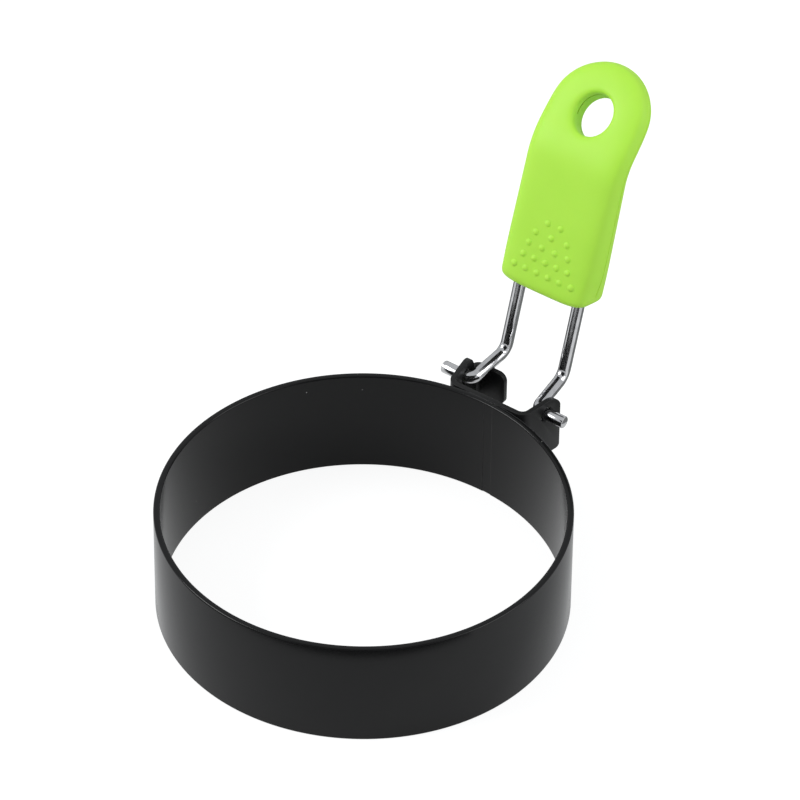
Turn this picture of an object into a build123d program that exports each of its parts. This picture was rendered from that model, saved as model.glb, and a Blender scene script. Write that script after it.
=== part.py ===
from build123d import *
from math import asin, cos, degrees, hypot, radians, sin, tan
import os

# An egg ring with a folding wire handle, in millimetres.
# The origin is on the ring's axis, at the middle of the plane that it stands on.
# The handle is on the +Y side and the hinge axis is parallel to X.

# ring band
ring_outer_diameter = 88.9
ring_height = 25.4
band_thickness = 1.4
rim_rounding = 0.4
seam_width = 2.3
seam_side_offset = 1.8
weld_inset = 0.04

# bracket sheet and its ears
sheet_thickness = 1.2
bracket_seat_gap = 0.05
bracket_rim_drop = 0.3
bracket_height = 14.8
ear_span_at_hinge = 22.8
ear_splay_angle = 10.0
ear_root_inside_radius = 1.5
ear_reach = 11.35
ear_top_corner_radius = 3.6
ear_low_corner_radius = 1.2

# stop flange, bent inward from a tab on the left ear
flange_height = 8.6
flange_reach = 14.15
flange_tip_offset = 3.95
flange_bend_inside_radius = 0.8
flange_corner_radius = 1.9
arm_rest_gap = 0.1

# spot welds between bracket and band
weld_nugget_diameter = 3.4
weld_nugget_dish = 0.2
weld_column_spacing = 7.0
weld_row_spacing = 7.6

# hinge axis, measured from the band's outside and from the ears' top
hinge_out_from_band = 7.15
hinge_drop_below_ear_top = 3.4
pin_running_clearance = 0.08
pin_hole_countersink = 0.35
pin_length_past_ear = 4.65
pin_tip_chamfer = 0.3

# wire handle
wire_diameter = 2.8
arm_spacing = 15.24
arm_spacing_at_hinge = 17.0
pin_bend_radius = 2.1
arm_step_out = 11.4
arm_step_up = 1.2
arm_bend_radius = 3.2

# silicone grip
body_lean_angle = 17.3
head_lean_angle = 48.0
bare_arm_length = 17.75
body_straight_length = 29.0
head_bend_radius = 14.0
head_straight_length = 4.9
grip_width = 24.0
grip_foot_thickness = 10.6
grip_head_thickness = 6.2
grip_corner_share = 0.4
foot_rounding = 1.6
sleeve_gap = 0.04
hanging_hole_diameter = 9.2
hole_rim_rounding = 0.8
slit_width = 0.5
slit_start_angle = 115.0
slit_sweep_angle = 130.0

# grip bumps, in rows from the foot up: each row's count and its share of the spacing
bump_diameter = 1.5
bump_height = 0.36
first_row_height = 5.0
bump_row_pitch = 2.9
bump_spacing = 2.95
bump_row_counts = (6, 5, 4, 3, 2)
bump_spacing_shares = (1.0, 0.98, 1.15, 1.36, 1.12)

# how far a cutting shape runs past what it cuts
overrun = 2.0

# places worked out from the sizes above
ring_radius = ring_outer_diameter / 2
bore_radius = ring_radius - band_thickness
web_middle_y = ring_radius + bracket_seat_gap + sheet_thickness / 2
web_outer_y = web_middle_y + sheet_thickness / 2
bracket_top = ring_height - bracket_rim_drop
bracket_base = bracket_top - bracket_height
ear_edge_y = ring_radius + ear_reach
hinge_y = ring_radius + hinge_out_from_band
hinge_height = bracket_top - hinge_drop_below_ear_top
wire_radius = wire_diameter / 2
arm_x = arm_spacing / 2
pin_tip_x = ear_span_at_hinge / 2 + pin_length_past_ear


def along(start, lean, distance):
    """Return the (y, z) place at a distance from start, leaning outward from upright."""
    y, z = start
    return y + distance * sin(radians(lean)), z + distance * cos(radians(lean))


def on_arm_plane(x, place):
    """Turn a (y, z) place into a point at this x."""
    return x, place[0], place[1]


# side view of the handle's centre line, as (y, z) places
hinge_place = (hinge_y, hinge_height)
elbow_place = (hinge_y + arm_step_out, hinge_height + arm_step_up)
foot_place = along(elbow_place, body_lean_angle, bare_arm_length)
bend_start = along(foot_place, body_lean_angle, body_straight_length)
bend_angle = head_lean_angle - body_lean_angle
bend_tangent = head_bend_radius * tan(radians(bend_angle / 2))
bend_corner = along(bend_start, body_lean_angle, bend_tangent)
bend_end = along(bend_corner, head_lean_angle, bend_tangent)
head_place = along(bend_end, head_lean_angle, head_straight_length)


# ring band: a strip rolled to a circle, open at its seam
seam_angle = degrees(asin(seam_side_offset / ring_radius))
seam_plane = Plane.XY.rotated((0, 0, -seam_angle))

with BuildPart() as ring_band:
    with BuildSketch():
        Circle(ring_radius)
        Circle(bore_radius, mode=Mode.SUBTRACT)
    extrude(amount=ring_height)
    fillet(ring_band.edges(), rim_rounding)
    with BuildSketch(seam_plane):
        with Locations((0, ring_radius)):
            Rectangle(seam_width, 2 * (band_thickness + overrun))
    extrude(amount=ring_height, mode=Mode.SUBTRACT)
ring_band.part.label = "ring_band"

# seam weld: fills the seam, a hair below the band's faces and rims
with BuildPart() as seam_weld:
    with BuildSketch(Plane.XY.offset(weld_inset)):
        Circle(ring_radius - weld_inset)
        Circle(bore_radius + weld_inset, mode=Mode.SUBTRACT)
    extrude(amount=ring_height - 2 * weld_inset)
    fillet(seam_weld.edges(), rim_rounding)
    with BuildSketch(seam_plane):
        with Locations((0, ring_radius)):
            Rectangle(seam_width, 2 * (band_thickness + overrun))
    extrude(amount=ring_height, mode=Mode.INTERSECT)
seam_weld.part.label = "seam_weld"


# hinge bracket: a sheet channel with its flat web against the band and its ears splayed outward
ear_middle_at_hinge = ear_span_at_hinge / 2 - sheet_thickness / 2 / cos(radians(ear_splay_angle))
root_bend_radius = ear_root_inside_radius + sheet_thickness / 2
flange_bend_radius = flange_bend_inside_radius + sheet_thickness / 2
flange_middle_y = ring_radius + flange_reach - sheet_thickness / 2


def ear_middle(y):
    """Return the x of the right ear's middle line at a distance y from the ring's axis."""
    return ear_middle_at_hinge + (y - hinge_y) * tan(radians(ear_splay_angle))


# the flange's top lies just under the left arm
arm_slope = arm_step_up / arm_step_out
flange_face_y = flange_middle_y - sheet_thickness / 2
arm_underside = (
    hinge_height
    + arm_slope * (flange_face_y - hinge_y)
    - wire_radius * hypot(1, arm_slope)
)
flange_top = arm_underside - arm_rest_gap
flange_middle_height = flange_top - flange_height / 2
tab_root_y = ear_edge_y - sheet_thickness

weld_middle_height = (bracket_top + bracket_base) / 2
weld_places = [
    (side * weld_column_spacing / 2, weld_middle_height + level * weld_row_spacing / 2)
    for side in (-1, 1)
    for level in (-1, 1)
]

with BuildPart() as hinge_bracket:
    with BuildLine(Plane.XY.offset(weld_middle_height)) as bracket_run:
        FilletPolyline(
            (-ear_middle(ear_edge_y), ear_edge_y),
            (-ear_middle(web_middle_y), web_middle_y),
            (ear_middle(web_middle_y), web_middle_y),
            (ear_middle(ear_edge_y), ear_edge_y),
            radius=root_bend_radius,
        )
    with BuildSketch(Plane(bracket_run.wire() @ 0, x_dir=(0, 0, 1), z_dir=bracket_run.wire() % 0)):
        Rectangle(bracket_height, sheet_thickness)
    sweep(path=bracket_run.wire())

    # side view: the ears' rounded outer corners
    with BuildSketch(Plane.YZ):
        with BuildLine():
            FilletPolyline(
                (0, bracket_base),
                (ear_edge_y, bracket_base),
                (ear_edge_y, bracket_top),
                (0, bracket_top),
                radius=[0, ear_low_corner_radius, ear_top_corner_radius, 0],
                close=True,
            )
        make_face()
    extrude(amount=ear_span_at_hinge, both=True, mode=Mode.INTERSECT)

    # the tab on the left ear and the flange bent from it
    with BuildLine(Plane.XY.offset(flange_middle_height)) as flange_run:
        FilletPolyline(
            (-ear_middle(tab_root_y), tab_root_y),
            (-ear_middle(flange_middle_y), flange_middle_y),
            (-flange_tip_offset, flange_middle_y),
            radius=flange_bend_radius,
        )
    with BuildSketch(Plane(flange_run.wire() @ 0, x_dir=(0, 0, 1), z_dir=flange_run.wire() % 0)):
        Rectangle(flange_height, sheet_thickness)
    sweep(path=flange_run.wire())
    flange_tip = hinge_bracket.edges().filter_by(Axis.Y).group_by(Axis.Y)[-1]
    fillet(flange_tip, flange_corner_radius)

    # round holes in the web for the spot welds
    with BuildSketch(Plane.XZ):
        with Locations(weld_places):
            Circle(weld_nugget_diameter / 2)
    extrude(amount=-web_outer_y - overrun, mode=Mode.SUBTRACT)

    # pin holes, opened a little on both faces of each ear
    with BuildSketch(Plane.YZ):
        with Locations(hinge_place):
            Circle(wire_radius + pin_running_clearance)
    extrude(amount=ear_span_at_hinge, both=True, mode=Mode.SUBTRACT)
    chamfer(
        [
            edge
            for edge in hinge_bracket.edges().filter_by(GeomType.ELLIPSE)
            if abs(edge.center().Y - hinge_y) < wire_diameter
        ],
        pin_hole_countersink,
    )
hinge_bracket.part.label = "hinge_bracket"

# spot welds: nuggets from the band through the web, sunk a little on the outside
with BuildPart() as spot_welds:
    with BuildSketch(Plane.XZ):
        with Locations(weld_places):
            Circle(weld_nugget_diameter / 2)
    extrude(amount=weld_nugget_dish - web_outer_y)
    with BuildSketch():
        Circle(ring_radius)
    extrude(amount=ring_height, mode=Mode.SUBTRACT)
spot_welds.part.label = "spot_welds"


# wire handle: pins, arms and the loop round the hanging hole, bent from one wire
with BuildPart() as wire_handle:
    with BuildLine() as wire_run:
        for side in (-1, 1):
            FilletPolyline(
                on_arm_plane(side * pin_tip_x, hinge_place),
                on_arm_plane(side * arm_spacing_at_hinge / 2, hinge_place),
                on_arm_plane(side * arm_x, elbow_place),
                on_arm_plane(side * arm_x, bend_corner),
                on_arm_plane(side * arm_x, head_place),
                radius=[pin_bend_radius, arm_bend_radius, head_bend_radius],
            )
        ThreePointArc(
            on_arm_plane(-arm_x, head_place),
            on_arm_plane(0, along(head_place, head_lean_angle, arm_x)),
            on_arm_plane(arm_x, head_place),
        )
    with BuildSketch(Plane(wire_run.wire() @ 0, z_dir=wire_run.wire() % 0)):
        Circle(wire_radius)
    sweep(path=wire_run.wire())
    chamfer(wire_handle.faces().filter_by(Axis.X).edges(), pin_tip_chamfer)
wire_handle.part.label = "wire_handle"


# grip: a sleeve that thins from its foot to its head, and leans further back at the head
taper_length = body_straight_length + head_bend_radius * radians(bend_angle)
taper_rate = (grip_foot_thickness - grip_head_thickness) / taper_length
hole_radius_in_grip = hanging_hole_diameter / 2


def grip_thickness(distance):
    """Return the grip's thickness at a distance from its foot."""
    return max(grip_head_thickness, grip_foot_thickness - taper_rate * distance)


def section_plane(place, lean):
    """Return the plane square to the grip at a (y, z) place; its y points to the back."""
    return Plane(
        origin=(0, place[0], place[1]),
        x_dir=(1, 0, 0),
        z_dir=(0, sin(radians(lean)), cos(radians(lean))),
    )


head_front = (0, -cos(radians(head_lean_angle)), sin(radians(head_lean_angle)))
head_centre = (0, head_place[0], head_place[1])
head_plane = Plane(origin=head_centre, x_dir=(1, 0, 0), z_dir=head_front)
bend_stations = 3

# cross-sections from the foot to the head's centre, each a plane with its thickness
sections = [(section_plane(foot_place, body_lean_angle), grip_foot_thickness)]
for step in range(bend_stations + 1):
    turned = bend_angle * step / bend_stations
    chord = 2 * head_bend_radius * sin(radians(turned / 2))
    place = along(bend_start, body_lean_angle + turned / 2, chord)
    distance = body_straight_length + head_bend_radius * radians(turned)
    sections.append((section_plane(place, body_lean_angle + turned), grip_thickness(distance)))
sections.append((section_plane(head_place, head_lean_angle), grip_head_thickness))

with BuildPart() as grip:
    # the straight body, rounded at its foot
    for plane, thickness in sections[:2]:
        with BuildSketch(plane):
            RectangleRounded(grip_width, thickness, grip_corner_share * thickness)
    loft(ruled=True)
    fillet(grip.faces().sort_by(Axis.Z)[0].edges(), foot_rounding)

    # the bend and the straight part of the head
    for plane, thickness in sections[1:]:
        with BuildSketch(plane):
            RectangleRounded(grip_width, thickness, grip_corner_share * thickness)
    loft()

    # the round end of the head
    with BuildSketch(section_plane(head_place, head_lean_angle)):
        RectangleRounded(grip_width, grip_head_thickness, grip_corner_share * grip_head_thickness)
        with Locations((grip_width / 2, 0)):
            Rectangle(grip_width, grip_head_thickness, mode=Mode.INTERSECT)
    revolve(axis=Axis(head_centre, head_front), revolution_arc=180)

    # the hanging hole with its rounded rims
    with BuildSketch(head_plane):
        Circle(hole_radius_in_grip)
    extrude(amount=grip_head_thickness, both=True, mode=Mode.SUBTRACT)
    hole_rims = [
        edge
        for edge in grip.edges().filter_by(GeomType.CIRCLE)
        if abs(edge.radius - hole_radius_in_grip) < sleeve_gap
    ]
    fillet(hole_rims, hole_rim_rounding)

    # the channel that the wire fills
    with BuildSketch(Plane(wire_run.wire() @ 0, z_dir=wire_run.wire() % 0)):
        Circle(wire_radius + sleeve_gap)
    sweep(path=wire_run.wire(), mode=Mode.SUBTRACT)

    # the slit in the hole's left wall, half way through the head
    with BuildSketch(head_plane):
        Circle(arm_x)
        Circle(hole_radius_in_grip / 2, mode=Mode.SUBTRACT)
        with BuildLine():
            slit_arc = CenterArc((0, 0), grip_width, slit_start_angle, slit_sweep_angle)
            Line((0, 0), slit_arc @ 0)
            Line((0, 0), slit_arc @ 1)
        make_face(mode=Mode.INTERSECT)
    extrude(amount=slit_width / 2, both=True, mode=Mode.SUBTRACT)

    # rows of small bumps low on the front
    bump_ball_radius = (bump_diameter**2 / 4 + bump_height**2) / (2 * bump_height)
    for row, count in enumerate(bump_row_counts):
        distance = first_row_height + row * bump_row_pitch
        sunk = grip_thickness(distance) / 2 + bump_height - bump_ball_radius
        row_plane = section_plane(along(foot_place, body_lean_angle, distance), body_lean_angle)
        spacing = bump_spacing * bump_spacing_shares[row]
        with Locations(row_plane):
            with Locations([((column - (count - 1) / 2) * spacing, -sunk) for column in range(count)]):
                Sphere(bump_ball_radius)
grip.part.label = "grip"


os.makedirs("parts", exist_ok=True)
export_step(ring_band.part, "parts/ring_band.step")
export_step(seam_weld.part, "parts/seam_weld.step")
export_step(hinge_bracket.part, "parts/hinge_bracket.step")
export_step(spot_welds.part, "parts/spot_welds.step")
export_step(wire_handle.part, "parts/wire_handle.step")
export_step(grip.part, "parts/grip.step")
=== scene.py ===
from math import cos, pi, radians, sin, tan

import bmesh
import bpy
from mathutils import Matrix, Vector


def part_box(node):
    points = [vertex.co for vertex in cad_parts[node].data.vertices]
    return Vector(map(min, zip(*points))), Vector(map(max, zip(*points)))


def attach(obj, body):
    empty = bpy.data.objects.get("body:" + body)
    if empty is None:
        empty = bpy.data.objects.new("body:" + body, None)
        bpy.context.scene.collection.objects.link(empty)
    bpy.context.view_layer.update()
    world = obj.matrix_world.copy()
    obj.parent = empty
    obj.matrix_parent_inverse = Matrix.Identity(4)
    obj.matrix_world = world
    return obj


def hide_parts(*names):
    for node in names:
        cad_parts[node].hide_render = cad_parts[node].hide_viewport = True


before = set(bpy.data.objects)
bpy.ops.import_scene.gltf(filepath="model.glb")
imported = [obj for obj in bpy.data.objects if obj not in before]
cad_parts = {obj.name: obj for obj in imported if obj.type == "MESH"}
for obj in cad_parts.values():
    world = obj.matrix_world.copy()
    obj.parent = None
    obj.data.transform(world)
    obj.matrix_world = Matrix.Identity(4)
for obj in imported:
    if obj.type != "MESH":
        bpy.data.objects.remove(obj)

scene = bpy.context.scene
mm = 0.001
near = 0.01 * mm  # how exactly a place has to match to be picked
about = 0.2 * mm  # the same, where the place is only roughly known
clear = 1 * mm  # tells rows apart that stand well away from each other
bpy.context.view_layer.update()  # the bare CAD model's box
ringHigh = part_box("ring_band")[1]  # the band's highest corner
print("frame loaded:", ", ".join(sorted(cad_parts)))


# camera, set from the ring's rims and the handle
photoView = {
    "standOff": 1.2198,  # from the middle of the ring's base
    "elevation": 42.12,
    "turn": 36.0,
    "lookDown": 40.14,
    "headingOff": 0.47,
    "tilt": 0.64,
    "lens": 256.3,
    "sensor": 36.0,
}


def makeCamera():
    view = photoView
    turned = Matrix.Rotation(radians(view["turn"]), 4, "Z")
    raised = Matrix.Rotation(radians(-view["elevation"]), 4, "X")
    place = turned @ raised @ Vector((0, -view["standOff"], 0))
    aim = Matrix.Rotation(radians(view["turn"] - view["headingOff"]), 4, "Z")
    aim = aim @ Matrix.Rotation(radians(90 - view["lookDown"]), 4, "X")
    aim = aim @ Matrix.Rotation(radians(view["tilt"]), 4, "Z")
    bpy.ops.object.camera_add(location=place, rotation=aim.to_euler())
    camera = bpy.context.active_object
    camera.name = "photoCamera"
    camera.data.lens = view["lens"]
    camera.data.sensor_width = view["sensor"]
    camera.data.clip_start = 0.01
    camera.data.clip_end = 50
    scene.camera = camera


# floor, room and lamps
stageLook = {
    "floorSize": 12.0,
    "floorColour": (0.8, 0.8, 0.8, 1),
    "floorSeenColour": (0.25, 0.25, 0.25, 1),
    "floorSeenGlow": 0.86,
    "shinyShare": 0.3,  # how much of the white shiny surfaces see
    "roomColour": (0.92, 0.96, 1.0, 1),
    "roomLight": 0.5,
}
lamps = (
    {"name": "leftBox", "around": -50, "up": 36, "away": 1.6,
     "size": (0.9, 0.9), "watts": 16.2, "shine": True},
    {"name": "rightBox", "around": 108, "up": 30, "away": 1.8,
     "size": (1.0, 1.4), "watts": 11, "shine": True},
    {"name": "topBox", "around": 170, "up": 72, "away": 1.6,
     "size": (1.4, 1.4), "watts": 2.5, "shine": False},  # not mirrored in the object
)

# flags darken what shiny surfaces mirror, and nothing else sees them
darkCard = {
    "around": 36,
    "up": 38,
    "away": 1.9,
    "size": (2.2, 1.6),
    "grey": 0.03,
}
mats = (
    {"name": "frontMat", "around": 17, "sweep": 134, "grey": 0.03},
    {"name": "backMat", "around": 195, "sweep": 120, "grey": 0.24},
)
matShape = {"inside": 0.078, "outside": 0.34, "lift": 0.0002, "sides": 64}


def seenRays(nodes, links):  # 1 where the camera looks, and the shiny share for gloss and glass
    path = nodes.new("ShaderNodeLightPath")
    seen = path.outputs["Is Camera Ray"]
    for name in ("Is Glossy Ray", "Is Transmission Ray"):
        part = nodes.new("ShaderNodeMath")
        part.operation = "MULTIPLY"
        part.inputs[1].default_value = stageLook["shinyShare"]
        links.new(path.outputs[name], part.inputs[0])
        either = nodes.new("ShaderNodeMath")
        either.operation = "MAXIMUM"
        links.new(seen, either.inputs[0])
        links.new(part.outputs[0], either.inputs[1])
        seen = either.outputs[0]
    return seen


def placeAround(around, up, away):  # a place off the ring's top, and the turn that faces the ring
    spin = Matrix.Rotation(radians(around), 4, "Z") @ Matrix.Rotation(radians(-up), 4, "X")
    middle = Vector((0, 0, ringHigh.z))
    place = spin @ Vector((0, -away, 0)) + middle
    return place, (middle - place).to_track_quat("-Z", "Y").to_euler()


def makeFloor():
    bpy.ops.mesh.primitive_plane_add(size=stageLook["floorSize"], location=(0, 0, 0))
    floor = bpy.context.active_object
    floor.name = "floor"
    paper = bpy.data.materials.new("floorPaper")
    paper.use_nodes = True
    nodes, links = paper.node_tree.nodes, paper.node_tree.links
    surface = nodes["Principled BSDF"]
    surface.inputs["Roughness"].default_value = 1.0
    surface.inputs["Specular IOR Level"].default_value = 0.0
    surface.inputs["Emission Color"].default_value = (1, 1, 1, 1)
    seen = seenRays(nodes, links)
    colour = nodes.new("ShaderNodeMix")
    colour.data_type = "RGBA"
    colour.inputs["A"].default_value = stageLook["floorColour"]
    colour.inputs["B"].default_value = stageLook["floorSeenColour"]
    links.new(seen, colour.inputs["Factor"])
    links.new(colour.outputs["Result"], surface.inputs["Base Color"])
    glow = nodes.new("ShaderNodeMath")
    glow.operation = "MULTIPLY"
    glow.inputs[1].default_value = stageLook["floorSeenGlow"]
    links.new(seen, glow.inputs[0])
    links.new(glow.outputs[0], surface.inputs["Emission Strength"])
    floor.data.materials.append(paper)


def makeRoom():
    world = bpy.data.worlds.new("room")
    scene.world = world
    world.use_nodes = True
    nodes, links = world.node_tree.nodes, world.node_tree.links
    nodes.clear()
    lit = nodes.new("ShaderNodeBackground")
    lit.inputs["Color"].default_value = stageLook["roomColour"]
    lit.inputs["Strength"].default_value = stageLook["roomLight"]
    white = nodes.new("ShaderNodeBackground")
    white.inputs["Color"].default_value = (1, 1, 1, 1)
    mixed = nodes.new("ShaderNodeMixShader")
    output = nodes.new("ShaderNodeOutputWorld")
    links.new(seenRays(nodes, links), mixed.inputs[0])
    links.new(lit.outputs[0], mixed.inputs[1])
    links.new(white.outputs[0], mixed.inputs[2])
    links.new(mixed.outputs[0], output.inputs[0])


def makeLamps():
    for lamp in lamps:
        place, facing = placeAround(lamp["around"], lamp["up"], lamp["away"])
        bpy.ops.object.light_add(type="AREA", location=place, rotation=facing)
        light = bpy.context.active_object
        light.name = lamp["name"]
        light.data.shape = "RECTANGLE"
        light.data.size, light.data.size_y = lamp["size"]
        light.data.energy = lamp["watts"]
        light.visible_glossy = lamp["shine"]


def asFlag(flag, grey):
    cloth = bpy.data.materials.new(flag.name + "Cloth")
    cloth.use_nodes = True
    surface = cloth.node_tree.nodes["Principled BSDF"]
    surface.inputs["Base Color"].default_value = (grey, grey, grey, 1)
    surface.inputs["Roughness"].default_value = 1.0
    surface.inputs["Specular IOR Level"].default_value = 0.0
    flag.data.materials.append(cloth)
    flag.visible_camera = False
    flag.visible_diffuse = False
    flag.visible_shadow = False


def makeFlags():  # a dark card near the camera, and mats on the floor in front and behind
    place, facing = placeAround(darkCard["around"], darkCard["up"], darkCard["away"])
    bpy.ops.mesh.primitive_plane_add(size=1, location=place, rotation=facing)
    card = bpy.context.active_object
    card.name = "darkCard"
    card.scale = (*darkCard["size"], 1)
    asFlag(card, darkCard["grey"])

    middle = (0, 0, matShape["lift"])
    for mat in mats:
        clearAll()
        bpy.ops.mesh.primitive_circle_add(
            vertices=matShape["sides"], radius=matShape["inside"], location=middle)
        flat = bpy.context.active_object
        flat.name = mat["name"]
        bpy.ops.object.mode_set(mode="EDIT")
        bpy.ops.mesh.select_all(action="SELECT")
        extrudeBy((0, 0, 0))
        widen = matShape["outside"] / matShape["inside"]
        bpy.ops.transform.resize(value=(widen, widen, widen), center_override=middle)
        turn = radians(mat["around"])
        towards = Vector((sin(turn), -cos(turn), 0))
        halfSweep = radians(mat["sweep"] / 2)
        pick(flat, "VERT", lambda place: towards.angle(place) > halfSweep)
        bpy.ops.mesh.delete(type="VERT")
        bpy.ops.object.mode_set(mode="OBJECT")
        asFlag(flat, mat["grey"])


# small helpers for modelling
def clearAll():
    if bpy.context.mode != "OBJECT":
        bpy.ops.object.mode_set(mode="OBJECT")
    bpy.ops.object.select_all(action="DESELECT")


def only(piece):  # selects this piece alone
    clearAll()
    piece.select_set(True)
    bpy.context.view_layer.objects.active = piece


def edit(piece):
    only(piece)
    bpy.ops.object.mode_set(mode="EDIT")
    bpy.ops.mesh.select_mode(type="VERT")


def pickItems(piece, kind, wanted):  # wanted is asked about the places of an item's corners
    bpy.ops.mesh.select_mode(type=kind)
    bpy.ops.mesh.select_all(action="DESELECT")
    shape = bmesh.from_edit_mesh(piece.data)
    items = {"VERT": shape.verts, "EDGE": shape.edges, "FACE": shape.faces}[kind]
    for item in items:
        corners = [item] if kind == "VERT" else item.verts
        if wanted([corner.co for corner in corners]):
            item.select_set(True)
    shape.select_flush_mode()
    bmesh.update_edit_mesh(piece.data)


def pick(piece, kind, wanted):  # kind is VERT, EDGE or FACE; all corners have to be wanted
    pickItems(piece, kind, lambda places: all(wanted(place) for place in places))


def pickEdges(piece, wanted):  # wanted is asked about each edge's two ends together
    pickItems(piece, "EDGE", lambda places: wanted(*places))


def extrudeBy(step):
    bpy.ops.mesh.extrude_region_move(TRANSFORM_OT_translate={"value": step})


def spinBy(steps, angle, centre, axis):  # spin turns clockwise, so its axis is turned round
    bpy.ops.mesh.spin(steps=steps, angle=angle, center=centre, axis=-Vector(axis))


def applyModifiers(piece):
    only(piece)
    for modifier in list(piece.modifiers):
        bpy.ops.object.modifier_apply(modifier=modifier.name)


def applyPlace(piece):
    only(piece)
    bpy.ops.object.transform_apply(location=True, rotation=True, scale=True)


def smooth(piece, angle):
    only(piece)
    bpy.ops.object.shade_smooth_by_angle(angle=radians(angle))


def joinAll(pieces):
    clearAll()
    for piece in pieces:
        piece.select_set(True)
    bpy.context.view_layer.objects.active = pieces[0]
    bpy.ops.object.join()
    return bpy.context.active_object


def outward(piece):  # merges doubles and turns all faces outward
    edit(piece)
    bpy.ops.mesh.select_all(action="SELECT")
    bpy.ops.mesh.remove_doubles(threshold=near / 10)
    bpy.ops.mesh.delete_loose()
    bpy.ops.mesh.select_all(action="SELECT")
    bpy.ops.mesh.normals_make_consistent(inside=False)
    bpy.ops.object.mode_set(mode="OBJECT")


def settle(piece, body, slot, material, *nodes):  # hands a finished piece to the frame
    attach(piece, body)
    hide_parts(*nodes)
    piece.data.materials.clear()
    piece.data.materials.append(material)
    print("made", piece.name, "with", len(piece.data.polygons), "faces")


# ring band and its seam weld
ringShape = {
    "outerRadius": 44.45 * mm,
    "height": 25.4 * mm,
    "wall": 1.4 * mm,
    "rimRounding": 0.4 * mm,
    "rimSteps": 5,
    "seamWidth": 2.3 * mm,
    "seamOffset": 1.8 * mm,  # from the handle's middle towards +X
    "weldInset": 0.06 * mm,
    "turnSteps": 300,
    "weldSteps": 6,
    "smoothAngle": 40,
}


def rolledStrip(name, start, sweep, steps, inset):
    shape = ringShape
    middle = Vector((shape["outerRadius"] - shape["wall"] / 2, 0, shape["height"] / 2))
    clearAll()
    bpy.ops.mesh.primitive_plane_add(size=1, location=middle, rotation=(pi / 2, 0, 0))
    strip = bpy.context.active_object
    strip.name = name
    applyPlace(strip)
    edit(strip)
    bpy.ops.mesh.select_all(action="SELECT")
    section = (shape["wall"] - 2 * inset, 1, shape["height"] - 2 * inset)
    bpy.ops.transform.resize(value=section, center_override=middle)
    bpy.ops.mesh.bevel(affect="VERTICES", offset=shape["rimRounding"], segments=shape["rimSteps"])
    bpy.ops.mesh.select_all(action="SELECT")
    spinBy(steps, sweep, (0, 0, 0), (0, 0, 1))
    clearAll()
    strip.rotation_euler.z = start
    applyPlace(strip)
    outward(strip)
    return strip


def makeRing(coat, weldCoat):
    shape = ringShape
    seamMiddle = pi / 2 - shape["seamOffset"] / shape["outerRadius"]
    seamHalf = shape["seamWidth"] / 2 / shape["outerRadius"]
    sweep = 2 * pi - 2 * seamHalf
    band = rolledStrip("ringBand", seamMiddle + seamHalf, sweep, shape["turnSteps"], 0)
    weld = rolledStrip(
        "seamWeld", seamMiddle - seamHalf, 2 * seamHalf, shape["weldSteps"], shape["weldInset"])
    for piece in (band, weld):
        smooth(piece, shape["smoothAngle"])
    settle(band, "ring", "coated_steel", coat, "ring_band")
    settle(weld, "ring", "coated_steel", weldCoat, "seam_weld")


# hinge bracket: a merged copy of the folded sheet, with its edges rounded as its coat rounds them
bracketShape = {
    "edgeRounding": 0.22 * mm,
    "edgeSteps": 3,
    "flatAngle": 1.5,  # faces that meet flatter than this are merged
    "edgeAngle": 35,
}


def makeBracket(coat):
    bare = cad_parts["hinge_bracket"]
    bracket = bpy.data.objects.new("hingeBracket", bare.data.copy())
    scene.collection.objects.link(bracket)
    outward(bracket)
    edit(bracket)
    bpy.ops.mesh.select_all(action="SELECT")
    bpy.ops.mesh.dissolve_limited(angle_limit=radians(bracketShape["flatAngle"]))
    clearAll()
    edges = bracket.modifiers.new("edges", "BEVEL")
    edges.width = bracketShape["edgeRounding"]
    edges.segments = bracketShape["edgeSteps"]
    edges.limit_method = "ANGLE"
    edges.angle_limit = radians(bracketShape["edgeAngle"])
    edges.harden_normals = False
    applyModifiers(bracket)
    smooth(bracket, bracketShape["edgeAngle"])
    settle(bracket, "ring", "coated_steel", coat, "hinge_bracket")


# spot welds on the back of the bracket's web
weldShape = {
    "radius": 1.7 * mm,
    "columns": 7.0 * mm,
    "rows": 7.6 * mm,
    "middleHeight": 17.7 * mm,
    "faceY": 45.7 * mm,
    "depth": 1.1 * mm,
    "dish": 0.2 * mm,
    "rim": 0.35 * mm,
    "sides": 32,
    "edgeShare": 0.25,  # the rounding, as a share of the rim
    "edgeSteps": 2,
    "edgeAngle": 50,
    "smoothAngle": 40,
}


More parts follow.
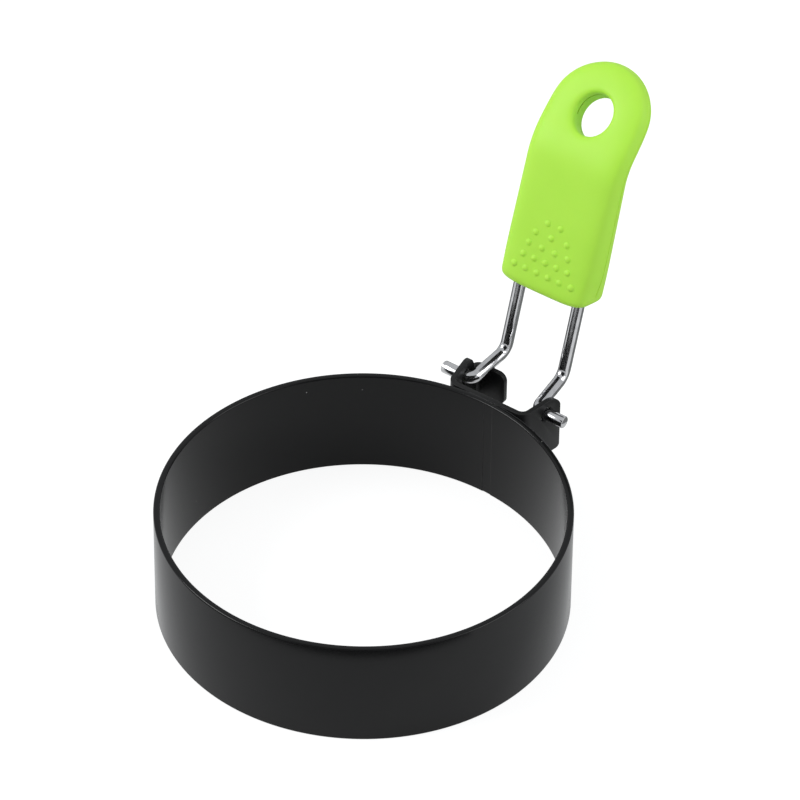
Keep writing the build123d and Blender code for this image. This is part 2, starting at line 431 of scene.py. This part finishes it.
def makeSpotWelds(weldCoat):
    shape = weldShape
    clearAll()
    bpy.ops.mesh.primitive_cylinder_add(
        vertices=shape["sides"], radius=shape["radius"], depth=shape["depth"],
        rotation=(-pi / 2, 0, 0), location=(0, shape["faceY"] - shape["depth"] / 2, 0))
    nugget = bpy.context.active_object
    nugget.name = "spotWelds"
    applyPlace(nugget)
    edit(nugget)
    pick(nugget, "FACE", lambda place: place.y > shape["faceY"] - near)
    for thickness, step in ((shape["rim"], 0), (shape["rim"], -shape["dish"]), (shape["rim"], 0)):
        bpy.ops.mesh.inset(thickness=thickness)
        bpy.ops.transform.translate(value=(0, step, 0))
    clearAll()
    edges = nugget.modifiers.new("edges", "BEVEL")
    edges.width = shape["rim"] * shape["edgeShare"]
    edges.segments = shape["edgeSteps"]
    edges.angle_limit = radians(shape["edgeAngle"])
    applyModifiers(nugget)
    copies = []
    for across in (-0.5, 0.5):
        for level in (-0.5, 0.5):
            copy = bpy.data.objects.new("nugget", nugget.data.copy())
            scene.collection.objects.link(copy)
            rise = shape["middleHeight"] + level * shape["rows"]
            copy.location = (across * shape["columns"], 0, rise)
            copies.append(copy)
    bpy.data.objects.remove(nugget)
    nuggets = joinAll(copies)
    nuggets.name = "spotWelds"
    applyPlace(nuggets)
    smooth(nuggets, shape["smoothAngle"])
    settle(nuggets, "ring", "coated_steel", weldCoat, "spot_welds")


# the handle's line, which the wire and the grip share; lean is from upright, in degrees
handleLine = {
    "lean": 17.3,
    "headLean": 48.0,
    "straightLength": 29.0 * mm,  # from the grip's foot to the bend below its head
    "headRadius": 14.0 * mm,
    "headLength": 4.9 * mm,  # from that bend to the middle of the hanging hole
}
headBend = radians(handleLine["headLean"] - handleLine["lean"])


# wire handle: one wire from pin to pin, bent like the real one
wireShape = {
    "radius": 1.4 * mm,
    "sides": 32,
    "pinTip": 16.05 * mm,
    "hinge": Vector((8.5, 51.6, 21.7)) * mm,
    "elbow": Vector((7.62, 63.0, 22.9)) * mm,
    "bareLength": 17.75 * mm,  # from the elbow to the grip's foot
    "pinBend": 2.1 * mm,
    "elbowBend": 3.2 * mm,
    "bendSteps": 10,
    "loopSteps": 12,
    "tipEdge": 0.3 * mm,
    "tipSteps": 2,
    "smoothAngle": 30,
}


def leaning(angle):
    return Vector((0, sin(radians(angle)), cos(radians(angle))))


def bendWire(corner, before, after, radius):  # spins the open end round one bend
    turn = before.angle(after)
    axis = before.cross(after).normalized()
    inward = axis.cross(before).normalized()
    start = corner - before * radius * tan(turn / 2)
    spinBy(wireShape["bendSteps"], turn, start + inward * radius, axis)
    return corner + after * radius * tan(turn / 2)


def makeWire(steel):
    shape = wireShape
    inward = Vector((-1, 0, 0))
    tip = Vector((shape["pinTip"], shape["hinge"].y, shape["hinge"].z))
    run = (shape["elbow"] - shape["hinge"]).normalized()
    line = handleLine
    rise = leaning(line["lean"])
    head = leaning(line["headLean"])
    toCorner = line["headRadius"] * tan(headBend / 2)
    headCorner = shape["elbow"] + rise * (shape["bareLength"] + line["straightLength"] + toCorner)
    loopStart = headCorner + head * (toCorner + line["headLength"])
    corners = (
        (shape["hinge"], inward, run, shape["pinBend"]),
        (shape["elbow"], run, rise, shape["elbowBend"]),
        (headCorner, rise, head, line["headRadius"]),
    )
    clearAll()
    bpy.ops.mesh.primitive_circle_add(
        vertices=shape["sides"], radius=shape["radius"], location=tip, rotation=(0, pi / 2, 0))
    wire = bpy.context.active_object
    wire.name = "wireHandle"
    applyPlace(wire)
    edit(wire)
    bpy.ops.mesh.select_all(action="SELECT")
    place = tip
    for corner, before, after, radius in corners:
        straight = corner - before * radius * tan(before.angle(after) / 2) - place
        extrudeBy(straight / 2)
        extrudeBy(straight / 2)
        place = bendWire(corner, before, after, radius)
    extrudeBy(loopStart - place)
    loopAxis = head.cross(inward).normalized()
    spinBy(shape["loopSteps"], pi / 2, (0, loopStart.y, loopStart.z), loopAxis)
    clearAll()
    twin = wire.modifiers.new("twin", "MIRROR")
    twin.use_axis = (True, False, False)
    twin.merge_threshold = near
    applyModifiers(wire)

    # close both pin tips and chamfer them
    edit(wire)
    for side in (-1, 1):
        pick(wire, "VERT", lambda corner: corner.x * side > shape["pinTip"] - near)
        bpy.ops.mesh.edge_face_add()
        bpy.ops.mesh.select_mode(type="EDGE")
        bpy.ops.mesh.bevel(offset=shape["tipEdge"], segments=shape["tipSteps"])
    outward(wire)
    smooth(wire, shape["smoothAngle"])
    settle(wire, "handle", "wire_steel", steel, "wire_handle")


# silicone grip: a soft cage round the hanging hole and down the body, then its small features
gripShape = {
    "foot": Vector((0, 68.278, 39.847)) * mm,  # on the wires' plane
    "halfWidth": 12.0 * mm,
    "footThickness": 10.6 * mm,
    "headThickness": 6.2 * mm,
    "holeRadius": 4.6 * mm,
    "holeRim": 2.0 * mm,  # from the hole to the cage's loop round it
    "holeRounding": 0.55 * mm,
    "holeOval": (0.935, 1, 1.065),  # the moulded hole is a little taller than wide
    "holeReach": 0.5 * mm,  # how far the oval may stand off its circle
    "holeShare": 0.94,  # the thickness at the hole, as a share of the middle's
    "rimDepth": 2.0 * mm,  # the hole's rims stand further than this from the wires' plane
    "cornerInset": 0.8 * mm,  # how far the cage's corners stand in from its sides
    "cornerShare": 0.87,  # the thickness there
    "headSides": 16,
    "headReach": 1.035,  # stretches the head's top, which subdivision draws in
    "headDrop": 9.0 * mm,  # from the hole's middle down to where the body begins
    "middleWidth": 0.6 * mm,  # full middle of the sides
    "middleFrom": 4.0 * mm,  # height above the foot, as the next one
    "ridgeFrom": 3.0 * mm,
    "ridgeWidth": 0.12 * mm,  # parting line
    "ridgeHeight": 0.13 * mm,
    "rowHeights": (29.0, 22.0, 14.5, 7.0, 3.4, 0.0),  # mm, as the columns and the lifts
    "columns": (4.3, 8.1),
    "footLift": {4.3: 0.0, 8.1: 0.15, 11.2: 0.95},  # by column, for the foot's round corners
    "softness": 3,  # levels of subdivision
    "wireHole": 1.55 * mm,
    "wireHoleDepth": 1.5 * mm,
    "wireHoleMiddle": 0.8 * mm,  # above the foot, so that the cutter goes through its curve
    "wireHoleSides": 32,
    "wireSpacing": 15.24 * mm,
    "slitWidth": 0.45 * mm,
    "slitStretch": 5,  # its cutter's length outward, in widths
    "slitReach": 0.6 * mm,  # from the hole's wall to the cutter's middle
    "slitDepth": 1.0 * mm,  # in front of the wires' plane
    "slitStart": 100,
    "slitSweep": 95,
    "slitSteps": 26,
    "smoothAngle": 40,
}
bumpShape = {
    "diameter": 1.55 * mm,
    "height": 0.32 * mm,
    "firstRow": 5.0 * mm,
    "rowPitch": 2.9 * mm,
    "spacing": 2.95 * mm,
    "counts": (6, 5, 4, 3, 2),
    "spacingShares": (1.0, 0.98, 1.15, 1.36, 1.12),
    "sides": 24,
    "rings": 16,
}
softCorner = 0.9746  # subdivision draws a sixteen-sided loop in to this share


def gripHalfThickness(height):  # of the unbent grip, at a height above its foot
    shape = gripShape
    taper = handleLine["straightLength"] + handleLine["headRadius"] * headBend
    share = min(1, max(0, height / taper))
    return (shape["footThickness"] * (1 - share) + shape["headThickness"] * share) / 2


def gripCage():
    shape = gripShape
    line = handleLine
    headHeight = line["straightLength"] + line["headRadius"] * headBend + line["headLength"]
    middle = Vector((0, 0, headHeight))
    joint = headHeight - shape["headDrop"]
    sideX = shape["halfWidth"] - shape["cornerInset"]
    holeCage = shape["holeRadius"] / softCorner
    outerCage = sideX / softCorner
    clearAll()
    bpy.ops.mesh.primitive_circle_add(
        vertices=shape["headSides"], radius=holeCage, location=middle, rotation=(pi / 2, 0, 0))
    grip = bpy.context.active_object
    grip.name = "grip"
    applyPlace(grip)
    edit(grip)
    bpy.ops.mesh.select_all(action="SELECT")
    reach = holeCage
    for radius in (holeCage + shape["holeRim"], outerCage):
        extrudeBy((0, 0, 0))
        bpy.ops.transform.resize(value=(radius / reach,) * 3, center_override=middle)
        reach = radius

    pick(grip, "VERT", lambda place: (place - middle).length < holeCage + about)
    bpy.ops.transform.resize(value=shape["holeOval"], center_override=middle)

    # the ring's lower half is squared off to meet the body
    def onOuter(place):
        return (place - middle).length > outerCage - near

    def atJoint(place):
        return abs(place.z - joint) < near

    pick(grip, "VERT", lambda place: onOuter(place) and place.z < headHeight - clear)
    bpy.ops.transform.resize(value=(1, 1, 0), center_override=(0, 0, joint))
    inner, outer = shape["columns"]
    for step, wanted in ((1, sideX), (2, outer * mm), (3, inner * mm)):
        was = outerCage * cos(2 * pi * step / shape["headSides"])
        pick(grip, "VERT", lambda place: atJoint(place) and abs(abs(place.x) - was) < about)
        bpy.ops.transform.resize(value=(wanted / was, 1, 1), center_override=(0, 0, joint))
    pick(grip, "VERT", lambda place: abs(place.z - headHeight) < near and onOuter(place))
    bpy.ops.transform.resize(value=(sideX / outerCage, 1, 1), center_override=middle)
    pick(grip, "VERT", lambda place: place.z > headHeight + clear and onOuter(place))
    bpy.ops.transform.resize(value=(1, 1, shape["headReach"]), center_override=middle)

    # the body's rows, down to the curved foot
    height = joint
    pick(grip, "EDGE", atJoint)
    for row in shape["rowHeights"]:
        extrudeBy((0, 0, row * mm - height))
        height = row * mm
    for column, lift in shape["footLift"].items():
        pick(grip, "VERT", lambda place: place.z < near
             and abs(abs(place.x) - column * mm) < about)
        bpy.ops.transform.translate(value=(0, 0, lift * mm))
    clearAll()
    return grip, headHeight, outerCage


def gripShell(grip, headHeight, outerCage):
    shape = gripShape
    middle = Vector((0, 0, headHeight))
    holeCage = shape["holeRadius"] / softCorner
    thick = grip.vertex_groups.new(name="thickness")
    sideX = shape["halfWidth"] - shape["cornerInset"]
    for vertex in grip.data.vertices:
        place = vertex.co
        share = gripHalfThickness(place.z) / (shape["footThickness"] / 2)
        away = (place - middle).length
        onSide = abs(place.x) > sideX - about
        onHead = place.z > headHeight - clear and away > outerCage - about
        if onSide or onHead:
            share *= shape["cornerShare"]
        if abs(away - holeCage) < shape["holeReach"]:
            share *= shape["holeShare"]
        thick.add([vertex.index], share, "REPLACE")
    shell = grip.modifiers.new("shell", "SOLIDIFY")
    shell.thickness = shape["footThickness"]
    shell.offset = 0
    shell.vertex_group = "thickness"
    applyModifiers(grip)
    outward(grip)

    # a middle line round the outside, for the parting line
    def acrossOutside(one, other):
        if abs(one.y - other.y) < clear or abs(one.x - other.x) > near:
            return False
        halfway = (one + other) / 2
        return (halfway - middle).length > holeCage + clear

    edit(grip)
    pickEdges(grip, acrossOutside)
    bpy.ops.mesh.subdivide(number_cuts=1)
    pick(grip, "EDGE", lambda place: abs(place.y) < near)
    bpy.ops.mesh.bevel(offset=shape["middleWidth"], segments=2)
    pick(grip, "VERT", lambda place: abs(place.y) < shape["middleWidth"] + near
         and place.z > shape["middleFrom"])
    bpy.ops.transform.shrink_fatten(value=shape["cornerInset"])

    # the hanging hole's wall runs straight through between two rounded rims
    def onHole(place):
        away = Vector((place.x, 0, place.z - headHeight)).length
        return abs(away - holeCage) < shape["holeReach"]

    def onWall(one, other):
        return onHole(one) and onHole(other) and one.y * other.y < 0

    def onRim(one, other):
        if not (onHole(one) and onHole(other)) or one.y * other.y < 0:
            return False
        return min(abs(one.y), abs(other.y)) > shape["rimDepth"]

    pickEdges(grip, onWall)
    bpy.ops.mesh.subdivide(number_cuts=2)
    pickEdges(grip, onRim)
    bpy.ops.mesh.bevel(offset=shape["holeRounding"], segments=1)
    clearAll()
    soft = grip.modifiers.new("soft", "SUBSURF")
    soft.levels = soft.render_levels = shape["softness"]
    applyModifiers(grip)

    # the parting line stands up along the middle of the outside
    edit(grip)
    pick(grip, "VERT", lambda place: abs(place.y) < shape["ridgeWidth"]
         and (place - middle).length > holeCage + 2 * clear and place.z > shape["ridgeFrom"])
    bpy.ops.transform.shrink_fatten(value=shape["ridgeHeight"])
    clearAll()


def cutOut(piece, cutter, kind="DIFFERENCE"):
    cut = piece.modifiers.new("cut", "BOOLEAN")
    cut.operation = kind
    cut.solver = "EXACT"
    cut.object = cutter
    applyModifiers(piece)
    bpy.data.objects.remove(cutter)


def addBumps(grip):
    shape = bumpShape
    ball = (shape["diameter"] ** 2 / 4 + shape["height"] ** 2) / (2 * shape["height"])  # its radius
    clearAll()
    balls = []
    for row, count in enumerate(shape["counts"]):
        height = shape["firstRow"] + row * shape["rowPitch"]
        front = -gripHalfThickness(height) - shape["height"] + ball
        spacing = shape["spacing"] * shape["spacingShares"][row]
        for column in range(count):
            across = (column - (count - 1) / 2) * spacing
            bpy.ops.mesh.primitive_uv_sphere_add(
                segments=shape["sides"], ring_count=shape["rings"], radius=ball,
                location=(across, front, height))
            balls.append(bpy.context.active_object)
    bumps = joinAll(balls)
    applyPlace(bumps)
    cutOut(grip, bumps, "UNION")


def cutSlit(grip, headHeight):
    shape = gripShape
    across = (shape["holeRadius"] + shape["slitReach"], 0, 0)
    clearAll()
    bpy.ops.mesh.primitive_plane_add(size=shape["slitWidth"], location=across)
    slit = bpy.context.active_object
    applyPlace(slit)
    edit(slit)
    bpy.ops.mesh.select_all(action="SELECT")
    bpy.ops.transform.resize(value=(shape["slitStretch"], 1, 1), center_override=across)
    spinBy(shape["slitSteps"], radians(shape["slitSweep"]), (0, 0, 0), (0, -1, 0))
    clearAll()
    slit.rotation_euler.y = -radians(shape["slitStart"])
    slit.location = (0, -shape["slitDepth"], headHeight)
    applyPlace(slit)
    outward(slit)
    cutOut(grip, slit)


def cutWireHoles(grip):
    shape = gripShape
    for side in (-0.5, 0.5):
        clearAll()
        bpy.ops.mesh.primitive_cylinder_add(
            vertices=shape["wireHoleSides"], radius=shape["wireHole"],
            depth=2 * shape["wireHoleDepth"],
            location=(side * shape["wireSpacing"], 0, shape["wireHoleMiddle"]))
        cutOut(grip, bpy.context.active_object)


def bendHead(grip):  # bends the straight grip back at its head
    start, radius = handleLine["straightLength"], handleLine["headRadius"]
    for vertex in grip.data.vertices:
        along = vertex.co.z - start
        if along <= 0:
            continue
        turn = min(along / radius, headBend)
        past = max(0, along - radius * headBend)
        reach = radius - vertex.co.y
        vertex.co.y = radius - reach * cos(turn) + past * sin(turn)
        vertex.co.z = start + reach * sin(turn) + past * cos(turn)


def makeGrip(silicone):
    grip, headHeight, outerCage = gripCage()
    gripShell(grip, headHeight, outerCage)
    addBumps(grip)
    cutSlit(grip, headHeight)
    cutWireHoles(grip)
    outward(grip)
    bendHead(grip)
    grip.rotation_euler.x = -radians(handleLine["lean"])
    grip.location = gripShape["foot"]
    applyPlace(grip)
    smooth(grip, gripShape["smoothAngle"])
    grip.name = "siliconeGrip"
    settle(grip, "handle", "silicone", silicone, "grip")


# shared effects, as node groups; each is placed in a material with its own values
def newEffect(name, inputs, outputs):
    effect = bpy.data.node_groups.new(name, "ShaderNodeTree")
    for title, kind in inputs:
        effect.interface.new_socket(name=title, in_out="INPUT", socket_type=kind)
    for title, kind in outputs:
        effect.interface.new_socket(name=title, in_out="OUTPUT", socket_type=kind)
    given = effect.nodes.new("NodeGroupInput")
    made = effect.nodes.new("NodeGroupOutput")
    return effect, given, made


number = "NodeSocketFloat"


def math(tree, operation, first, second=None, clamp=False):
    node = tree.nodes.new("ShaderNodeMath")
    node.operation = operation
    node.use_clamp = clamp
    for socket, value in zip(node.inputs, (first, second)):
        if value is None:
            continue
        if isinstance(value, (int, float)):
            socket.default_value = value
        else:
            tree.links.new(value, socket)
    return node.outputs[0]


def objectPlace(tree, stretch=(1, 1, 1)):  # Object coordinates in millimetres
    where = tree.nodes.new("ShaderNodeTexCoord")
    mapping = tree.nodes.new("ShaderNodeMapping")
    mapping.inputs["Scale"].default_value = [share / mm for share in stretch]
    tree.links.new(where.outputs["Object"], mapping.inputs["Vector"])
    return mapping.outputs["Vector"]


def noise(tree, scale, detail=2.0, stretch=(1, 1, 1)):
    node = tree.nodes.new("ShaderNodeTexNoise")
    node.inputs["Detail"].default_value = detail
    tree.links.new(objectPlace(tree, stretch), node.inputs["Vector"])
    if isinstance(scale, (int, float)):
        node.inputs["Scale"].default_value = scale
    else:
        tree.links.new(scale, node.inputs["Scale"])
    return node.outputs["Fac"]


def ramp(tree, value, low, high):  # 0 below low, 1 above high
    node = tree.nodes.new("ShaderNodeMapRange")
    node.inputs["From Min"].default_value = low
    node.inputs["From Max"].default_value = high
    tree.links.new(value, node.inputs["Value"])
    return node.outputs["Result"]


def grainEffect():  # fine unevenness of a coat or a moulding, about 0 to 1
    effect, given, made = newEffect(
        "surfaceGrain", [("Fine", number), ("Broad", number), ("Broad Share", number)],
        [("Height", number), ("Mottle", number)])
    fine = noise(effect, given.outputs["Fine"], detail=3.0)
    broad = noise(effect, given.outputs["Broad"])
    broadPart = math(effect, "MULTIPLY", broad, given.outputs["Broad Share"])
    effect.links.new(math(effect, "ADD", fine, broadPart), made.inputs["Height"])
    effect.links.new(broad, made.inputs["Mottle"])
    return effect


def specksEffect():  # sparse pale specks of dust or lint
    effect, given, made = newEffect(
        "specks", [("Spacing", number), ("Size", number), ("Share", number)],
        [("Mask", number)])
    cells = effect.nodes.new("ShaderNodeTexVoronoi")
    cells.inputs["Randomness"].default_value = 1.0
    effect.links.new(objectPlace(effect), cells.inputs["Vector"])
    effect.links.new(math(effect, "DIVIDE", 1.0, given.outputs["Spacing"]), cells.inputs["Scale"])
    edge = math(effect, "DIVIDE", given.outputs["Size"], given.outputs["Spacing"])
    inside = math(effect, "LESS_THAN", cells.outputs["Distance"], edge)
    split = effect.nodes.new("ShaderNodeSeparateColor")
    effect.links.new(cells.outputs["Color"], split.inputs["Color"])
    chosen = math(effect, "LESS_THAN", split.outputs["Red"], given.outputs["Share"])
    effect.links.new(math(effect, "MULTIPLY", inside, chosen), made.inputs["Mask"])
    return effect


def edgeEffect():  # painted highlight along convex edges, together with worn or thin coat there
    effect, given, made = newEffect(
        "edgeWearAndHighlight", [("Radius", number), ("Amount", number), ("Breakup", number)],
        [("Mask", number)])
    soft = effect.nodes.new("ShaderNodeBevel")
    soft.samples = 6
    effect.links.new(given.outputs["Radius"], soft.inputs["Radius"])
    facing = effect.nodes.new("ShaderNodeNewGeometry")
    alike = effect.nodes.new("ShaderNodeVectorMath")
    alike.operation = "DOT_PRODUCT"
    effect.links.new(soft.outputs["Normal"], alike.inputs[0])
    effect.links.new(facing.outputs["Normal"], alike.inputs[1])
    bent = math(effect, "SUBTRACT", 1.0, alike.outputs["Value"])
    patchy = noise(effect, given.outputs["Breakup"], detail=4.0)
    strong = math(effect, "MULTIPLY", bent, patchy)
    strong = math(effect, "MULTIPLY", strong, given.outputs["Amount"], clamp=True)
    effect.links.new(strong, made.inputs["Mask"])
    return effect


def linesEffect():  # fine drawing lines along the wire's arms
    effect, given, made = newEffect(
        "drawLines", [("Across", number), ("Wave", number)],
        [("Height", number), ("Streak", number)])
    streak = noise(effect, given.outputs["Across"], stretch=(1, 0.03, 0.03))
    wave = noise(effect, given.outputs["Wave"], detail=1.0)
    effect.links.new(math(effect, "ADD", streak, wave), made.inputs["Height"])
    effect.links.new(streak, made.inputs["Streak"])
    return effect


def placeEffect(material, effect, **values):
    node = material.node_tree.nodes.new("ShaderNodeGroup")
    node.node_tree = effect
    for title, value in values.items():
        node.inputs[title.replace("_", " ")].default_value = value
    return node


def newMaterial(name, colour, rough, metal=0.0, ior=1.5):
    material = bpy.data.materials.new(name)
    material.use_nodes = True
    surface = material.node_tree.nodes["Principled BSDF"]
    surface.inputs["Base Color"].default_value = (*colour, 1)
    surface.inputs["Roughness"].default_value = rough
    surface.inputs["Metallic"].default_value = metal
    surface.inputs["IOR"].default_value = ior
    return material, material.node_tree, surface


def mixColour(tree, mask, first, second):
    node = tree.nodes.new("ShaderNodeMix")
    node.data_type = "RGBA"
    for title, value in (("A", first), ("B", second)):
        if isinstance(value, tuple):
            node.inputs[title].default_value = (*value, 1)
        else:
            tree.links.new(value, node.inputs[title])
    tree.links.new(mask, node.inputs["Factor"])
    return node.outputs["Result"]


def driveRough(tree, surface, value, span):  # the roughness follows a value between two ends
    rough = tree.nodes.new("ShaderNodeMapRange")
    rough.inputs["To Min"].default_value, rough.inputs["To Max"].default_value = span
    tree.links.new(value, rough.inputs["Value"])
    tree.links.new(rough.outputs["Result"], surface.inputs["Roughness"])


def bump(tree, height, distance, before=None):
    node = tree.nodes.new("ShaderNodeBump")
    node.inputs["Strength"].default_value = 1.0
    node.inputs["Distance"].default_value = distance * mm
    tree.links.new(height, node.inputs["Height"])
    if before is not None:
        tree.links.new(before, node.inputs["Normal"])
    return node.outputs["Normal"]


# black non-stick coat: satin, with a fine grain, thin along the edges with a painted highlight
# there, and a little dusty
coatLook = {
    "rolled": {  # the band's finish
        "colour": (0.0048, 0.0048, 0.0050),
        "mottled": (0.0062, 0.0062, 0.0064),
        "rough": (0.10, 0.14),
    },
    "stamped": {  # the bracket's
        "colour": (0.0095, 0.0095, 0.0098),
        "mottled": (0.012, 0.012, 0.0122),
        "rough": (0.32, 0.42),
    },
    # edge: painted highlight line along the rims, seam and bracket edges, and the worn coat there
    "edge": (0.065, 0.064, 0.062),
    "speck": (0.30, 0.30, 0.29),
    "ior": 1.30,
    "fine": 5.0,  # grains per mm
    "broad": 0.22,
    "broadShare": 0.4,
    "grainHeight": 0.006,  # mm, as all heights and sizes in the looks
    "edgeRadius": 0.25 * mm,
    "edgeAmount": 3.4,
    "edgeBreakup": 0.8,
    "speckSpacing": 4.5,
    "speckSize": 0.13,
    "speckShare": 0.45,
    "rippleScale": 0.35,  # a weld bead's ripples run across it, one above another
    "rippleBend": 1.2,
    "rippleHeight": 0.003,
}


def makeCoat(name, effects, finish, ripples=False):
    look = coatLook
    kind = look[finish]
    material, tree, surface = newMaterial(name, kind["colour"], kind["rough"][0], ior=look["ior"])
    grain = placeEffect(
        material, effects["grain"], Fine=look["fine"], Broad=look["broad"],
        Broad_Share=look["broadShare"])
    wearAndHighlight = placeEffect(
        material, effects["edge"], Radius=look["edgeRadius"], Amount=look["edgeAmount"],
        Breakup=look["edgeBreakup"])
    specks = placeEffect(
        material, effects["specks"], Spacing=look["speckSpacing"], Size=look["speckSize"],
        Share=look["speckShare"])
    colour = mixColour(tree, grain.outputs["Mottle"], kind["colour"], kind["mottled"])
    # painted highlight along the convex edges, mixed with the worn coat
    colour = mixColour(tree, wearAndHighlight.outputs["Mask"], colour, look["edge"])
    colour = mixColour(tree, specks.outputs["Mask"], colour, look["speck"])
    tree.links.new(colour, surface.inputs["Base Color"])
    driveRough(tree, surface, grain.outputs["Height"], kind["rough"])
    normal = bump(tree, grain.outputs["Height"], look["grainHeight"])
    if ripples:
        waves = tree.nodes.new("ShaderNodeTexWave")
        waves.bands_direction = "Z"
        waves.inputs["Scale"].default_value = look["rippleScale"]
        waves.inputs["Distortion"].default_value = look["rippleBend"]
        tree.links.new(objectPlace(tree), waves.inputs["Vector"])
        normal = bump(tree, waves.outputs["Fac"], look["rippleHeight"], normal)
    tree.links.new(normal, surface.inputs["Normal"])
    return material


# polished wire, with faint lines from drawing
steelLook = {
    "colour": (0.64, 0.64, 0.65),
    "dull": (0.50, 0.50, 0.51),
    "rough": (0.07, 0.16),
    "across": 7.0,
    "wave": 0.35,
    "lineHeight": 0.004,
    "tarnish": 0.5,
    "tarnishRange": (0.45, 0.75),
    "fine": 3.0,
    "broadShare": 0.5,
}


def makeSteel(effects):
    look = steelLook
    material, tree, surface = newMaterial(
        "polishedSteel", look["colour"], look["rough"][0], metal=1.0)
    lines = placeEffect(material, effects["lines"], Across=look["across"], Wave=look["wave"])
    grain = placeEffect(
        material, effects["grain"], Fine=look["fine"], Broad=look["tarnish"],
        Broad_Share=look["broadShare"])
    dull = ramp(tree, grain.outputs["Mottle"], *look["tarnishRange"])
    colour = mixColour(tree, dull, look["colour"], look["dull"])
    tree.links.new(colour, surface.inputs["Base Color"])
    driveRough(tree, surface, lines.outputs["Streak"], look["rough"])
    normal = bump(tree, lines.outputs["Height"], look["lineHeight"])
    tree.links.new(normal, surface.inputs["Normal"])
    return material


# lime silicone: soft, slightly see-through, with a fine moulded grain, two small marks and a
# painted dark reflection
siliconeLook = {
    "colour": (0.43, 0.80, 0.062),
    "lighter": (0.46, 0.83, 0.072),
    "dust": (0.62, 0.90, 0.34),
    "mark": (0.16, 0.30, 0.03),
    "paintedDarkReflection": (0.03, 0.03, 0.03),  # painted dark reflection: what glossy rays see of the grip, so the wire and the band mirror it near black
    "rough": (0.42, 0.50),
    "ior": 1.38,
    "fine": 2.6,
    "broad": 0.12,
    "broadShare": 0.3,
    "grainHeight": 0.010,
    "speckSpacing": 5.0,
    "speckSize": 0.09,
    "speckShare": 0.3,
    "seeThrough": 0.2,
    "seeThroughReach": (1.0, 1.6, 0.3),
    "marks": ((0.8, 67.7, 59.6), (1.6, 64.9, 41.8)),  # on the front of the grip
    "markRadius": 0.22,
}


def markMask(tree, place, radius):
    away = tree.nodes.new("ShaderNodeVectorMath")
    away.operation = "DISTANCE"
    tree.links.new(objectPlace(tree), away.inputs[0])
    away.inputs[1].default_value = place
    return math(tree, "LESS_THAN", away.outputs["Value"], radius)


def makeSilicone(effects):
    look = siliconeLook
    material, tree, surface = newMaterial(
        "limeSilicone", look["colour"], look["rough"][0], ior=look["ior"])
    grain = placeEffect(
        material, effects["grain"], Fine=look["fine"], Broad=look["broad"],
        Broad_Share=look["broadShare"])
    specks = placeEffect(
        material, effects["specks"], Spacing=look["speckSpacing"], Size=look["speckSize"],
        Share=look["speckShare"])
    colour = mixColour(tree, grain.outputs["Mottle"], look["colour"], look["lighter"])
    colour = mixColour(tree, specks.outputs["Mask"], colour, look["dust"])
    for place in look["marks"]:
        mask = markMask(tree, place, look["markRadius"])
        colour = mixColour(tree, mask, colour, look["mark"])
    # painted dark reflection: glossy rays see the grip near black instead of its lime colour
    path = tree.nodes.new("ShaderNodeLightPath")
    colour = mixColour(tree, path.outputs["Is Glossy Ray"], colour, look["paintedDarkReflection"])
    tree.links.new(colour, surface.inputs["Base Color"])
    driveRough(tree, surface, grain.outputs["Height"], look["rough"])
    normal = bump(tree, grain.outputs["Height"], look["grainHeight"])
    tree.links.new(normal, surface.inputs["Normal"])
    surface.inputs["Subsurface Weight"].default_value = look["seeThrough"]
    surface.inputs["Subsurface Radius"].default_value = look["seeThroughReach"]
    surface.inputs["Subsurface Scale"].default_value = mm
    return material


scene.view_settings.view_transform = "Standard"
clearAll()
makeCamera()
makeFloor()
makeRoom()
makeLamps()
makeFlags()
print("camera, floor, room, lamps and flags made")
effects = {
    "grain": grainEffect(),
    "specks": specksEffect(),
    "edge": edgeEffect(),
    "lines": linesEffect(),
}
coat = makeCoat("blackCoat", effects, "rolled")
bracketCoat = makeCoat("bracketCoat", effects, "stamped")
weldCoat = makeCoat("weldCoat", effects, "rolled", ripples=True)
steel = makeSteel(effects)
silicone = makeSilicone(effects)
print("materials made")
makeRing(coat, weldCoat)
makeBracket(bracketCoat)
makeSpotWelds(weldCoat)
makeWire(steel)
makeGrip(silicone)
clearAll()
